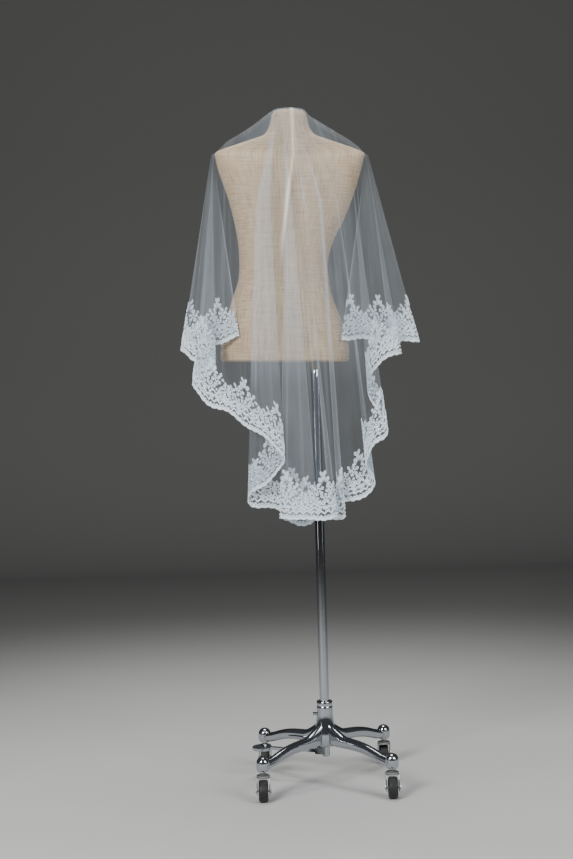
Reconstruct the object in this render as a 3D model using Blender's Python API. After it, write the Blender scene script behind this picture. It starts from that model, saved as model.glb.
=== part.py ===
"""Bridal veil laid over a limbless dress form on a rolling chrome stand.

Tables and sizes are in millimetres, measured from the pole's axis at floor level: +X to the right as the
photograph shows the back of the form, +Y away to the form's front, +Z up. MM turns them to metres.
"""
import math

import bpy
import numpy as np

MM = 0.001
POLE_X = 37.9            # the pole stands this far right of the middle of the whole width
SEAM_GAP = 0.3           # between neighbouring pieces

CLOTH_WALL = 1.4         # tulle and lace alike
LACE_REPEAT = 105.0      # one flower group of the edging
LACE_PHASE = 7.5         # from the front edge to the first valley
LACE_VALLEY = 76.0       # edging height between two leaf sprigs
LACE_SPRIG = 40.0        # a sprig stands this much higher
LACE_LOBE = 9.0          # depth of the lobe of the lower edge under each sprig
LACE_ROWS = (0.0, 14.0, 28.0, 42.0, 58.0)    # bars of the edging's net, up from the hem
MITRE_LIMIT = 2.5        # at a sharp bend the wall's corner stands out by no more than this many half walls
HEM_SEAM = 0.8           # from the top of the edging to the tulle, along the fall of the cloth
NARROWEST_HOLE = 9.0     # a flat this wide at the hem takes a hole of the net
PLEAT_DEPTH = -112.0     # the pleats lie about this far back at the shoulder blades
TIP_DEPTH = 44.0         # folds this far behind the ridge leave it straight back, nearer ones fan out

FORM_BASE = 1123.0
FORM_LEAN = 0.028        # the form drops this much to the right for each millimetre
POLE_RADIUS = 12.5
POLE_BORE = 12.9
POLE_LOW = 110.3
CASTOR_REACH = 165.0     # from the pole to a castor's swivel axis, along X and along Y
WHEEL_RADIUS = 28.0      # to the flats of the tyre
WHEEL_SIDES = 14
TRAIL = 18.0             # the axle trails the swivel axis by this much
CORNERS = (("front_left", -1, -1), ("front_right", 1, -1), ("rear_left", -1, 1), ("rear_right", 1, 1))
PEDAL_ANGLE = math.radians(160.6)
PEDAL_REACH = 181.0

# height, middle in x, half width, depth to the back, depth to the front
FORM_SECTIONS = (
    (1123.0, -80.0, 158.0, 86.0, 104.0),
    (1130.0, -80.0, 170.0, 94.0, 114.0),
    (1185.0, -79.0, 167.0, 98.0, 116.0),
    (1240.0, -80.0, 150.0, 96.0, 110.0),
    (1291.0, -81.0, 132.0, 90.0, 100.0),
    (1338.0, -77.0, 120.0, 84.0, 90.0),
    (1388.0, -76.0, 117.0, 82.0, 86.0),
    (1443.0, -69.0, 127.0, 84.0, 98.0),
    (1501.0, -59.0, 147.0, 86.0, 128.0),
    (1561.0, -54.0, 167.0, 85.0, 130.0),
    (1622.0, -54.0, 187.0, 76.0, 104.0),
    (1655.0, -53.0, 195.0, 58.0, 70.0),
    (1671.0, -52.0, 196.0, 38.0, 42.0),
    (1681.8, -52.0, 176.0, 35.0, 38.0),
    (1693.4, -51.0, 142.0, 37.0, 38.0),
    (1706.0, -51.0, 103.0, 41.0, 41.0),
    (1718.5, -51.0, 69.0, 44.0, 44.0),
    (1737.3, -52.0, 54.0, 46.0, 45.0),
    (1755.2, -51.0, 49.0, 45.0, 45.0),
    (1771.4, -51.0, 46.0, 43.0, 43.0),
    (1780.3, -51.0, 42.0, 39.0, 39.0),
    (1783.0, -51.0, 36.0, 34.0, 34.0),
)
FORM_POINTS = 36
FORM_SQUARENESS = 2.25

# x and height of the line that the veil is stretched along, left shoulder tip to right shoulder tip
RIDGE = (
    (-257.0, 1682.0),
    (-103.5, 1772.5),
    (-92.0, 1785.2),
    (-51.0, 1784.1),
    (-10.0, 1783.0),
    (1.5, 1769.0),
    (154.0, 1670.0),
)

# fold, place along the ridge from 0 to 1, then x y z at the shoulder blades, then x y z at the hem
VEIL_FOLDS = (
    ("left_edge", 0.020, -256, 22, 1674, -197, -85, 1193),
    ("left_inner", 0.024, -258, 14, 1674, -229, -78, 1184),
    ("left_far", 0.029, -259, 7, 1674, -288, -40, 1179),
    ("left_outer", 0.036, -259, 0, 1673, -345, -25, 1176),
    ("left_near", 0.045, -258, -8, 1671, -326, -80, 1142),
    ("left_tuck", 0.056, -256, -17, 1668, -258, -110, 1111),
    ("left_corner", 0.070, -252, -28, 1663, -315, -138, 1077),
    ("cascade_1", 0.095, -241, -48, 1650, -291, -165, 1035),
    ("cascade_2", 0.150, -216, -75, 1621, -228, -180, 998),
    ("cascade_3", 0.260, -175, -106, 1572, -158, -186, 948),
    ("cascade_fold", 0.414, -105, -126, 1539, -89, -178, 875),
    ("under_1", 0.423, -125, -111, 1538, -137, -154, 817),
    ("under_corner", 0.432, -145, -97, 1537, -185, -134, 770),
    ("under_back", 0.440, -118, -93, 1535, -142, -115, 752),
    ("centre_back", 0.448, -81, -97, 1531, -62, -115, 732),
    ("centre_tip", 0.455, -50, -107, 1530, -6, -130, 729),
    ("centre_mid", 0.462, -61, -114, 1529, -58, -152, 707),
    ("centre_left", 0.470, -70, -121, 1528, -102, -172, 730),
    ("centre_front", 0.483, -48, -128, 1527, -35, -190, 720),
    ("centre_right", 0.498, -29, -123, 1527, 42, -178, 727),
    ("tuck_2", 0.510, -22, -116, 1528, 24, -160, 718),
    ("slim_pleat", 0.522, 27, -118, 1531, 62, -145, 729),
    ("slim_tuck", 0.532, 19, -108, 1535, 46, -127, 748),
    ("right_low", 0.546, 37, -103, 1538, 88, -114, 764),
    ("right_low_tip", 0.562, 66, -104, 1540, 143, -112, 798),
    ("right_panel_left", 0.579, 73, -112, 1531, 121, -137, 860),
    ("right_panel_low", 0.617, 80, -110, 1545, 131, -152, 885),
    ("right_panel", 0.700, 92, -106, 1562, 146, -165, 911),
    ("right_panel_fold", 0.770, 106, -92, 1589, 174, -158, 938),
    ("right_tuck", 0.815, 108, -78, 1612, 129, -125, 1052),
    ("right_near", 0.890, 130, -56, 1632, 166, -100, 1120),
    ("right_near_fold", 0.928, 147, -36, 1650, 221, -72, 1140),
    ("right_tuck_2", 0.944, 151, -22, 1656, 199, -45, 1160),
    ("right_outer", 0.956, 154, -6, 1660, 272, -12, 1177),
    ("right_far", 0.966, 154, 6, 1662, 205, 0, 1180),
    ("right_far_2", 0.974, 153, 14, 1662, 140, -28, 1178),
    ("right_edge", 0.981, 151, 22, 1662, 70, -66, 1184),
)
STRETCHES = (
    ("left", 0.0, 7.0),
    ("left_back", 7.0, 14.0),
    ("centre", 14.0, 20.5),
    ("right_back", 20.5, 28.5),
    ("right", 28.5, 36.0),
)
# hem length of a fold's side, and the shares of it where the cloth has a column
COLUMN_SHARES = (
    (90.0, (0.0, 0.1, 0.3, 0.5, 0.7, 0.9)),
    (45.0, (0.0, 0.14, 0.5, 0.86)),
    (25.0, (0.0, 0.25, 0.75)),
    (0.0, (0.0,)),
)
FALL_STEPS = (0.25, 0.5, 0.75)

# distance from the pole, height of the middle, section height, section width
LEG_SECTIONS = (
    (16.0, 134.0, 66.0, 26.0),
    (34.0, 125.0, 51.0, 26.0),
    (66.0, 116.0, 33.0, 25.0),
    (90.0, 114.0, 30.0, 24.5),
    (118.0, 112.0, 28.5, 24.0),
    (147.0, 107.5, 28.0, 23.0),
    (172.0, 101.0, 27.5, 22.5),
    (196.0, 93.5, 26.5, 22.0),
    (226.0, 86.5, 25.0, 21.0),
)
LEG_POINTS = 10

# radius, height
HUB_OUTLINE = (
    (0.0, 96.0),
    (22.0, 96.0),
    (27.0, 103.0),
    (29.0, 124.0),
    (26.0, 148.0),
    (22.5, 170.0),
    (21.0, 188.0),
    (21.0, 216.5),
    (19.5, 218.0),
    (POLE_BORE, 218.0),
    (POLE_BORE, 110.0),
    (0.0, 110.0),
)
DOME_OUTLINE = (
    (0.0, 74.0),
    (14.5, 74.0),
    (17.0, 80.0),
    (17.0, 96.0),
    (15.0, 104.0),
    (10.0, 109.8),
    (0.0, 112.0),
)
STEM_OUTLINE = (
    (0.0, 60.7),
    (17.0, 60.7),
    (17.0, 64.5),
    (9.5, 67.5),
    (5.5, 70.0),
    (5.5, 73.7),
    (0.0, 73.7),
)
# half width, radius of the wheel from its bore out to the tread
WHEEL_OUTLINE = (
    (11.0, 3.5),
    (11.0, 9.0),
    (9.0, 19.0),
    (12.0, 21.0),
    (9.5, WHEEL_RADIUS),
)


def srgb(code):
    """Linear colour of a hex code."""
    channels = [int(code[i:i + 2], 16) / 255.0 for i in (0, 2, 4)]
    linear = [c / 12.92 if c <= 0.04045 else ((c + 0.055) / 1.055) ** 2.4 for c in channels]
    return (*linear, 1.0)


def make_material(name, colour, roughness, metallic=0.0, alpha=1.0):
    """Principled material of one sub-part."""
    material = bpy.data.materials.new(name)
    material.use_nodes = True
    shader = material.node_tree.nodes["Principled BSDF"]
    shader.inputs["Base Color"].default_value = srgb(colour)
    shader.inputs["Roughness"].default_value = roughness
    shader.inputs["Metallic"].default_value = metallic
    shader.inputs["Alpha"].default_value = alpha
    return material


def mesh_of(name, points, faces):
    """Mesh from points in millimetres."""
    mesh = bpy.data.meshes.new(name)
    mesh.from_pydata((np.asarray(points, float) * MM).tolist(), [], [tuple(f) for f in faces])
    mesh.validate()
    return mesh


def add_object(name, mesh, material, place=(0.0, 0.0, 0.0), turn=0.0, smooth=True):
    """Object on the pole's axis empty, turned about Z."""
    item = bpy.data.objects.new(name, mesh)
    bpy.context.scene.collection.objects.link(item)
    if material:
        item.data.materials.clear()
        item.data.materials.append(material)
    if smooth:
        item.data.shade_smooth()
        item.data.set_sharp_from_angle(angle=math.radians(35))
    item.location = [v * MM for v in place]
    item.rotation_euler = (0.0, 0.0, turn)
    item.parent = axis_empty
    return item


def turned_mesh(name, outline, sides):
    """Body of revolution about Z from (radius, height) points, from the axis up the outside to the axis."""
    points = []
    rings = []
    for radius, height in outline:
        if radius < 1e-6:
            rings.append([len(points)])
            points.append((0.0, 0.0, height))
            continue
        first = len(points)
        for k in range(sides):
            angle = math.tau * (k + 0.5) / sides
            points.append((radius * math.cos(angle), radius * math.sin(angle), height))
        rings.append(list(range(first, first + sides)))
    faces = []
    for low, high in zip(rings, rings[1:]):
        for k in range(sides):
            n = (k + 1) % sides
            if len(low) == 1:
                faces.append((low[0], high[n], high[k]))
            elif len(high) == 1:
                faces.append((low[k], low[n], high[0]))
            else:
                faces.append((low[k], low[n], high[n], high[k]))
    return mesh_of(name, points, faces)


def loft_mesh(name, rings):
    """Closed skin over rings of equal count, the first and last ring capped flat."""
    count = len(rings[0])
    points = [p for ring in rings for p in ring]
    faces = [tuple(reversed(range(count)))]
    for r in range(len(rings) - 1):
        for k in range(count):
            n = (k + 1) % count
            faces.append((r * count + k, r * count + n, (r + 1) * count + n, (r + 1) * count + k))
    last = (len(rings) - 1) * count
    faces.append(tuple(range(last, last + count)))
    return mesh_of(name, points, faces)


def box_mesh(name, low, high):
    """Rectangular block between two corners."""
    (x0, y0, z0), (x1, y1, z1) = low, high
    ring = ((x0, y0), (x1, y0), (x1, y1), (x0, y1))
    return loft_mesh(name, [[(x, y, z) for x, y in ring] for z in (z0, z1)])


def rod_mesh(name, centre, radius, half_length, sides, axis):
    """Cylinder along X or Y about a centre."""
    rings = []
    for end in (-half_length, half_length):
        ring = []
        for k in range(sides):
            angle = math.tau * (k + 0.5) / sides
            a, b = radius * math.cos(angle), radius * math.sin(angle)
            offset = (end, a, b) if axis == "X" else (b, end, a)
            ring.append(tuple(c + o for c, o in zip(centre, offset)))
        rings.append(ring)
    return loft_mesh(name, rings)


def combined_mesh(name, first, others, operation):
    """Mesh of the first with the others joined to it or cut from it."""
    base = bpy.data.objects.new(name + "_base", first)
    bpy.context.scene.collection.objects.link(base)
    tools = []
    for k, other in enumerate(others):
        tool = bpy.data.objects.new(f"{name}_tool_{k}", other)
        bpy.context.scene.collection.objects.link(tool)
        tools.append(tool)
        step = base.modifiers.new(f"step_{k}", "BOOLEAN")
        step.operation = operation
        step.object = tool
    view = bpy.context.evaluated_depsgraph_get()
    result = bpy.data.meshes.new_from_object(base.evaluated_get(view))
    result.name = name
    for item in [base, *tools]:
        bpy.data.objects.remove(item)
    return result


def unit(vectors):
    """Vectors brought to length 1."""
    length = np.linalg.norm(vectors, axis=-1, keepdims=True)
    return vectors / np.maximum(length, 1e-9)


def spline(knots, places):
    """Smooth curve through knots: each stretch is a cubic whose end directions halve the corner there."""
    chords = np.diff(knots, axis=0)
    lengths = np.linalg.norm(chords, axis=1)
    ways = unit(chords)
    heads = np.vstack([ways[:1], unit(ways[:-1] + ways[1:]), ways[-1:]])
    index = np.clip(np.floor(places).astype(int), 0, len(chords) - 1)
    t = (places - index)[:, None]
    reach = lengths[index][:, None] * 0.9
    return (
        (2 * t ** 3 - 3 * t ** 2 + 1) * knots[index]
        + (t ** 3 - 2 * t ** 2 + t) * heads[index] * reach
        + (3 * t ** 2 - 2 * t ** 3) * knots[index + 1]
        + (t ** 3 - t ** 2) * heads[index + 1] * reach
    )


def ridge_points(along):
    """Points of the ridge line at fractions of its length."""
    line = np.array(RIDGE)
    travel = np.concatenate([[0.0], np.cumsum(np.linalg.norm(np.diff(line, axis=0), axis=1))])
    x = np.interp(along * travel[-1], travel, line[:, 0])
    z = np.interp(along * travel[-1], travel, line[:, 1])
    return np.stack([x, np.zeros_like(x), z], axis=1)


def veil_knots():
    """Knots of each fold, front edge first: front, ridge, rim, back, middle, blade, hem."""
    along = np.array([row[1] for row in VEIL_FOLDS])
    blade = np.array([row[2:5] for row in VEIL_FOLDS], float)
    hem = np.array([row[5:8] for row in VEIL_FOLDS], float)
    ridge = ridge_points(along)
    (foot, _), (brow, _), (middle_x, _) = RIDGE[1:4]
    neck = np.clip(1.0 + (middle_x - brow - np.abs(ridge[:, 0] - middle_x)) / (brow - foot), 0.0, 1.0)
    zero = np.zeros_like(neck)
    front = ridge + np.stack([zero, 22.0 + 8.0 * neck, -9.0 * (1.0 - neck)], axis=1)
    rim = ridge + np.stack([zero, -12.0 - 25.0 * neck, -1.0 + neck], axis=1)
    apart = 0.4 * (blade[:, 1] - PLEAT_DEPTH)
    back = ridge + np.stack([zero, -20.0 + neck * (apart - 33.0), -6.0 - 5.0 * neck], axis=1)
    swell = np.stack([zero, -9.0 * np.clip((back[:, 2] - blade[:, 2]) / 200.0, 0.0, 1.0), zero], axis=1)
    middle = 0.5 * (back + blade) + swell
    behind = np.clip(-blade[:, 1] / TIP_DEPTH, 0.0, 1.0)[:, None]
    upper = [between(between(front, blade, share), full, behind)
             for share, full in ((0.25, ridge), (0.45, rim), (0.65, back), (0.83, middle))]
    return [front, *upper, blade, hem]


def tulle_places():
    """Fold numbers with fractions between them, crowded beside each fold so that its bend is round."""
    hem = veil_knots()[-1]
    places = [first for _, first, _ in STRETCHES]
    for k, length in enumerate(np.linalg.norm(np.diff(hem, axis=0), axis=1)):
        shares = next(shares for limit, shares in COLUMN_SHARES if length > limit)
        places.extend(k + np.array(shares))
    return np.unique(np.round(places + [len(VEIL_FOLDS) - 1.0], 4))


def between(a, b, share):
    return a + (b - a) * share


def stretch_columns(first, last):
    """Knots of the columns of one stretch, drawn in at its ends, and their travel along the hem."""
    every = tulle_places()
    inside = (every >= first - 1e-6) & (every <= last + 1e-6)
    hem = spline(veil_knots()[-1], every)
    travel = np.concatenate([[0.0], np.cumsum(np.linalg.norm(np.diff(hem, axis=0), axis=1))])[inside]
    columns = [spline(knots, every[inside]) for knots in veil_knots()]
    for knots in columns:
        for end, inner in ((0, 1), (-1, -2)):
            knots[end] += unit(knots[inner] - knots[end]) * SEAM_GAP / 2
    return columns, travel


def repeat_wave(travel):
    """0 between two repeats of the edging and 1 at a repeat's middle, where its sprig stands."""
    return 0.5 - 0.5 * np.cos(math.tau * (travel - LACE_PHASE) / LACE_REPEAT)


def edging_height(travel):
    """Height of the edging above the hem: one leaf sprig rises in each repeat."""
    return LACE_VALLEY + LACE_SPRIG * repeat_wave(travel) ** 2


def wall_mesh(name, grid, keep):
    """Closed wall about a grid of points; cells that keep leaves out are open gaps.

    The end faces are split so that two pieces that share a seam line have the same diagonals there.
    """
    down = np.zeros_like(grid)
    down[:, :-1] += unit(np.diff(grid, axis=1))
    down[:, 1:] += unit(np.diff(grid, axis=1))
    down = unit(down)
    total = np.zeros_like(grid)
    step = np.diff(grid, axis=0)
    total[:-1] += unit(np.cross(down[:-1], step))
    total[1:] += unit(np.cross(down[1:], step))
    sides = np.full((len(grid), 1, 1), 2.0)
    sides[[0, -1]] = 1.0
    size = np.linalg.norm(total, axis=-1, keepdims=True)
    outward = unit(total) * np.minimum(sides / np.maximum(size, 1e-9), MITRE_LIMIT)
    rows, columns = grid.shape[:2]
    layer = rows * columns
    half = outward * CLOTH_WALL / 2
    points = np.concatenate([(grid + half).reshape(-1, 3), (grid - half).reshape(-1, 3)])
    faces = []
    for i in range(rows - 1):
        for j in range(columns - 1):
            if not keep[i, j]:
                continue
            loop = [i * columns + j, i * columns + j + 1, (i + 1) * columns + j + 1, (i + 1) * columns + j]
            faces.append(loop)
            faces.append([layer + v for v in reversed(loop)])
            beside = ((i - 1, j), (i, j + 1), (i + 1, j), (i, j - 1))
            for side, (a, b) in enumerate(beside):
                if 0 <= a < rows - 1 and 0 <= b < columns - 1 and keep[a, b]:
                    continue
                start, end = loop[side], loop[(side + 1) % 4]
                if side < 2:
                    faces += [[end, start, layer + start], [end, layer + start, layer + end]]
                else:
                    faces += [[end, start, layer + end], [start, layer + start, layer + end]]
    used = sorted({v for face in faces for v in face})
    number = {v: k for k, v in enumerate(used)}
    return mesh_of(name, points[used], [[number[v] for v in face] for face in faces])


def make_tulle(name, first, last, material):
    """One stretch of the tulle panel, from its front edge to the top of the edging."""
    (front, ridge, rim, back, middle, blade, hem), travel = stretch_columns(first, last)
    low = hem + unit(blade - hem) * (edging_height(travel) + HEM_SEAM)[:, None]
    rows = [front, ridge, rim, back, middle, blade]
    rows += [between(blade, low, share) for share in FALL_STEPS]
    grid = np.stack([*rows, low], axis=1)
    keep = np.ones((grid.shape[0] - 1, grid.shape[1] - 1), bool)
    return add_object(name, wall_mesh(name, grid, keep), material)


def make_lace(name, first, last, material):
    """One stretch of the edging: scalloped below, sprigs above, and open between the bars of its net."""
    columns, travel = stretch_columns(first, last)
    blade, hem = columns[-2:]
    top = edging_height(travel)
    up = unit(blade - hem)
    levels = [level * np.ones_like(top) for level in LACE_ROWS]
    levels[0] = -LACE_LOBE * repeat_wave(travel)
    levels += [between(levels[-1], top, 0.5), top]
    grid = np.stack([hem + up * level[:, None] for level in reversed(levels)], axis=1)
    keep = np.ones((grid.shape[0] - 1, grid.shape[1] - 1), bool)
    widths = np.linalg.norm(np.diff(hem, axis=0), axis=1)
    for k in range(1, len(widths) - 1):
        if widths[k] > NARROWEST_HOLE:
            keep[k, -2 if k % 2 else -4] = False
    return add_object(name, wall_mesh(name, grid, keep), material)


def make_form(material):
    """Torso skin over its sections, each a rounded oval with its own depth behind and before."""
    rings = []
    for height, middle, half, behind, before in FORM_SECTIONS:
        ring = []
        for k in range(FORM_POINTS):
            angle = math.tau * k / FORM_POINTS
            c, s = math.cos(angle), math.sin(angle)
            x = math.copysign(abs(c) ** (2 / FORM_SQUARENESS), c) * half
            y = math.copysign(abs(s) ** (2 / FORM_SQUARENESS), s) * (before if s > 0 else behind)
            ring.append((middle + x, y, height - FORM_LEAN * x))
        rings.append(ring)
    return add_object("dress_form", loft_mesh("dress_form", rings), material)


def leg_mesh():
    """One leg lofted along +X and cut to fit round the hub and the castor's dome."""
    rings = []
    for distance, middle, height, width in LEG_SECTIONS:
        ring = []
        for k in range(LEG_POINTS):
            angle = math.tau * (k + 0.5) / LEG_POINTS
            c, s = math.cos(angle), math.sin(angle)
            y = math.copysign(abs(c) ** 0.75, c) * width / 2
            z = math.copysign(abs(s) ** 0.75, s) * height / 2
            ring.append((distance, y, middle + z))
        rings.append(ring)
    hub = [(r + SEAM_GAP, z) for r, z in HUB_OUTLINE[1:8]]
    outline = [(0.0, 60.0), (hub[0][0], 60.0), *hub, (hub[-1][0], 240.0), (0.0, 240.0)]
    hub_cutter = turned_mesh("hub_cutter", outline, 24)
    dome_cutter = turned_mesh("dome_cutter", [(0.0, 50.0), (17.0 + SEAM_GAP, 50.0),
                                              (17.0 + SEAM_GAP, 130.0), (0.0, 130.0)], 16)
    for vertex in dome_cutter.vertices:
        vertex.co.x += CASTOR_REACH * math.sqrt(2.0) * MM
    return combined_mesh("leg", loft_mesh("leg_blank", rings), [hub_cutter, dome_cutter], "DIFFERENCE")


def fork_mesh():
    """Pressed fork: a plate and two arms that slant back to the axle, with the axle's pin and heads."""
    top, low, wall, half = 60.4, 19.0, 2.4, 17.5
    outline = ((-half, low), (-half + wall, low), (-half + wall, top - wall), (half - wall, top - wall),
               (half - wall, low), (half, low), (half, top), (-half, top))
    near, far = [], []
    for x, z in outline:
        slide = TRAIL * np.clip((top - wall - z) / (top - WHEEL_RADIUS), 0.0, 1.0)
        near.append((x, -slide - 13.0 + 5.0 * slide / TRAIL, z))
        far.append((x, -slide + 13.0 - 5.0 * slide / TRAIL, z))
    blank = loft_mesh("fork_blank", [far, near])
    pin = rod_mesh("fork_pin", (0.0, -TRAIL, WHEEL_RADIUS), 3.0, half + 1.0, 12, "X")
    heads = [rod_mesh("fork_head", (side * (half + 1.4), -TRAIL, WHEEL_RADIUS), 5.0, 1.8, 6, "X")
             for side in (-1, 1)]
    return combined_mesh("fork", blank, [pin, *heads], "UNION")


def wheel_mesh():
    """Tyre and hub turned about the axle, with a flat of the tyre on the floor."""
    mirrored = [(-half, radius) for half, radius in reversed(WHEEL_OUTLINE)]
    outline = [*WHEEL_OUTLINE, *mirrored]
    stretch = 1.0 / math.cos(math.pi / WHEEL_SIDES)
    points, faces = [], []
    count = len(outline)
    for k in range(WHEEL_SIDES):
        angle = math.tau * (k + 0.5) / WHEEL_SIDES
        for x, radius in outline:
            r = radius * stretch
            points.append((x, r * math.sin(angle) - TRAIL, WHEEL_RADIUS - r * math.cos(angle)))
    for k in range(WHEEL_SIDES):
        n = (k + 1) % WHEEL_SIDES
        for j in range(count):
            m = (j + 1) % count
            faces.append((k * count + j, k * count + m, n * count + m, n * count + j))
    return mesh_of("wheel", points, faces)


def pedal_meshes():
    """Clevis under the hub and the foot lever on its pin, both made along +X."""
    boss = turned_mesh("boss", [(0.0, 69.0), (9.0, 69.0), (11.0, 72.0), (11.0, 95.7), (0.0, 95.7)], 16)
    lugs = [box_mesh("lug", (4.0, side * 9.0 - 2.0, 75.0), (27.0, side * 9.0 + 2.0, 91.0))
            for side in (-1, 1)]
    pin = rod_mesh("pedal_pin", (20.0, 0.0, 82.0), 2.7, 12.0, 10, "Y")
    clevis = combined_mesh("pedal_clevis", boss, [*lugs, pin], "UNION")
    eye = rod_mesh("eye", (20.0, 0.0, 82.0), 6.5, 6.6, 14, "Y")
    arm = box_mesh("arm", (24.0, -6.6, 78.5), (PEDAL_REACH - 20.0, 6.6, 85.5))
    plate_outline = [(0.0, 76.0), (25.0, 76.0), (27.0, 78.0), (27.0, 84.0), (25.0, 86.0), (0.0, 86.0)]
    plate = turned_mesh("plate", plate_outline, 20)
    for vertex in plate.vertices:
        vertex.co.x += PEDAL_REACH * MM
    hole = rod_mesh("eye_hole", (20.0, 0.0, 82.0), 3.05, 9.0, 10, "Y")
    blank = combined_mesh("lever_blank", eye, [arm, plate], "UNION")
    lever = combined_mesh("foot_pedal", blank, [hole], "DIFFERENCE")
    return clevis, lever


for old in list(bpy.data.objects):
    bpy.data.objects.remove(old)

axis_empty = bpy.data.objects.new("pole_axis", None)
axis_empty.location = (POLE_X * MM, 0.0, 0.0)
bpy.context.scene.collection.objects.link(axis_empty)

tulle = make_material("soft tulle", "E9EDF2", 0.75, alpha=0.35)
lace = make_material("corded lace", "F2F4F5", 0.8)
linen = make_material("linen cover", "C9B79C", 0.85)
chrome = make_material("polished chrome", "D6D9DC", 0.08, metallic=1.0)
zinc = make_material("zinc plated steel", "BFC0BB", 0.3, metallic=1.0)
rubber = make_material("black rubber", "17181A", 0.55)

for stretch, first, last in STRETCHES:
    make_tulle(f"tulle_{stretch}", first, last, tulle)
    make_lace(f"lace_{stretch}", first, last, lace)
make_form(linen)

pole_top = FORM_BASE - FORM_LEAN * (POLE_RADIUS - FORM_SECTIONS[0][1]) - SEAM_GAP
pole_outline = [(0.0, POLE_LOW), (POLE_RADIUS, POLE_LOW), (POLE_RADIUS, pole_top), (0.0, pole_top)]
add_object("pole", turned_mesh("pole", pole_outline, 20), chrome)
add_object("hub", turned_mesh("hub", HUB_OUTLINE, 24), chrome)
screw = rod_mesh("clamp_screw", (-26.8, 0.0, 183.0), 4.5, 5.0, 10, "X")
add_object("clamp_screw", screw, chrome)

leg = leg_mesh()
dome = turned_mesh("dome", DOME_OUTLINE, 16)
stem = turned_mesh("stem", STEM_OUTLINE, 14)
fork = fork_mesh()
wheel = wheel_mesh()
for corner, right, ahead in CORNERS:
    centre = (right * CASTOR_REACH, ahead * CASTOR_REACH, 0.0)
    facing = 0.0 if ahead < 0 else math.pi
    add_object(f"leg_{corner}", leg, chrome, turn=math.atan2(ahead, right))
    add_object(f"dome_{corner}", dome, chrome, centre)
    add_object(f"stem_{corner}", stem, zinc, centre)
    add_object(f"fork_{corner}", fork, zinc, centre, facing)
    add_object(f"wheel_{corner}", wheel, rubber, centre, facing)

clevis, lever = pedal_meshes()
add_object("pedal_clevis", clevis, chrome, turn=PEDAL_ANGLE)
add_object("foot_pedal", lever, chrome, turn=PEDAL_ANGLE)
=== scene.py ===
"""Bridal veil laid over a limbless dress form on a rolling chrome stand.

Tables are in millimetres from the pole's axis at floor level: +X to the right as the picture shows the back of the
form, +Y away to the form's front, +Z up. Each surface is turned to metres in the library's frame as it is made.
"""
import math

import bmesh
import bpy
import numpy as np
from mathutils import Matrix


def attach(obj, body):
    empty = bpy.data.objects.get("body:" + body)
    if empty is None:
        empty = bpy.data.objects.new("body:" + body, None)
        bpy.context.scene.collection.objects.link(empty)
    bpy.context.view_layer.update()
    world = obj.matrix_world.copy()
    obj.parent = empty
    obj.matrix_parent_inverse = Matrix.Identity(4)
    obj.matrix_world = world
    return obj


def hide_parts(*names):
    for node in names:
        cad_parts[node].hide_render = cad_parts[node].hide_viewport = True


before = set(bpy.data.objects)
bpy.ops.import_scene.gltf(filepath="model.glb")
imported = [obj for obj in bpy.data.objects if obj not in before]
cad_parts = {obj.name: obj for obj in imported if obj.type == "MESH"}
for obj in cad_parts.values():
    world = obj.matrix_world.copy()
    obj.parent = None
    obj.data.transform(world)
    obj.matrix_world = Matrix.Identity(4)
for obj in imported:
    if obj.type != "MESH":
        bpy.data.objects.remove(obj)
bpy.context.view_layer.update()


# Pole: one steel tube, drawn, polished and chromed. It slides in the collar of the hub and carries the form.
# Its helpers come first: a grid of points made into a mesh, and materials built from nodes.
POLE_PLACE = np.array([37.9, 0.0, 0.0])
POLE_RADIUS = 12.5
POLE_LOW, POLE_HIGH = 110.3, 1120.1


def surface(name, grid, material, body, replaced=(), wrap=False, flip=False, uv=None, merge=True):
    """Piece over a grid of points (rows, columns, 3), or over many (n, rows, columns, 3): quads between neighbours.

    wrap joins the last column to the first, flip turns the faces over, and uv gives each point its place on the
    flat material in metres. Points that meet, as at a pole, are merged.
    """
    index = np.arange(grid.size // 3).reshape(-1, *grid.shape[-3:-1])
    if wrap:
        index = np.concatenate([index, index[..., :1]], axis=-1)
    quads = np.stack([index[:, :-1, :-1], index[:, :-1, 1:], index[:, 1:, 1:], index[:, 1:, :-1]], axis=-1)
    quads = quads.reshape(-1, 4)
    if flip:
        quads = quads[:, ::-1]
    mesh = bpy.data.meshes.new(name)
    mesh.from_pydata(((grid.reshape(-1, 3) + POLE_PLACE) * 0.001).tolist(), [], quads.tolist())
    if uv is not None:
        layer = mesh.uv_layers.new(name="flat")
        layer.data.foreach_set("uv", uv.reshape(-1, 2)[quads.ravel()].ravel())
    return piece(name, mesh, material, body, replaced, merge)


def piece(name, mesh, material, body, replaced=(), merge=True):
    """Object at the origin with smooth faces, riding on a body and standing for CAD nodes."""
    if merge:
        work = bmesh.new()
        work.from_mesh(mesh)
        bmesh.ops.remove_doubles(work, verts=work.verts, dist=2e-6)
        bmesh.ops.dissolve_degenerate(work, edges=work.edges, dist=1e-7)
        work.to_mesh(mesh)
        work.free()
    mesh.materials.append(material)
    mesh.shade_smooth()
    mesh.set_sharp_from_angle(angle=math.radians(42))
    item = bpy.data.objects.new(name, mesh)
    bpy.context.scene.collection.objects.link(item)
    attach(item, body)
    if replaced:
        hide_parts(*replaced)
    return item


def turned(outline, sides=64, centre=(0.0, 0.0, 0.0)):
    """Grid of a body of revolution: each outline point (radius, height) is carried round a vertical axis."""
    radius, height = np.array(outline, float).T
    angle = np.linspace(0.0, math.tau, sides, endpoint=False)
    grid = np.stack([radius[:, None] * np.cos(angle), radius[:, None] * np.sin(angle),
                     height[:, None] * np.ones(sides)], axis=-1)
    return grid + np.array(centre)


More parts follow.
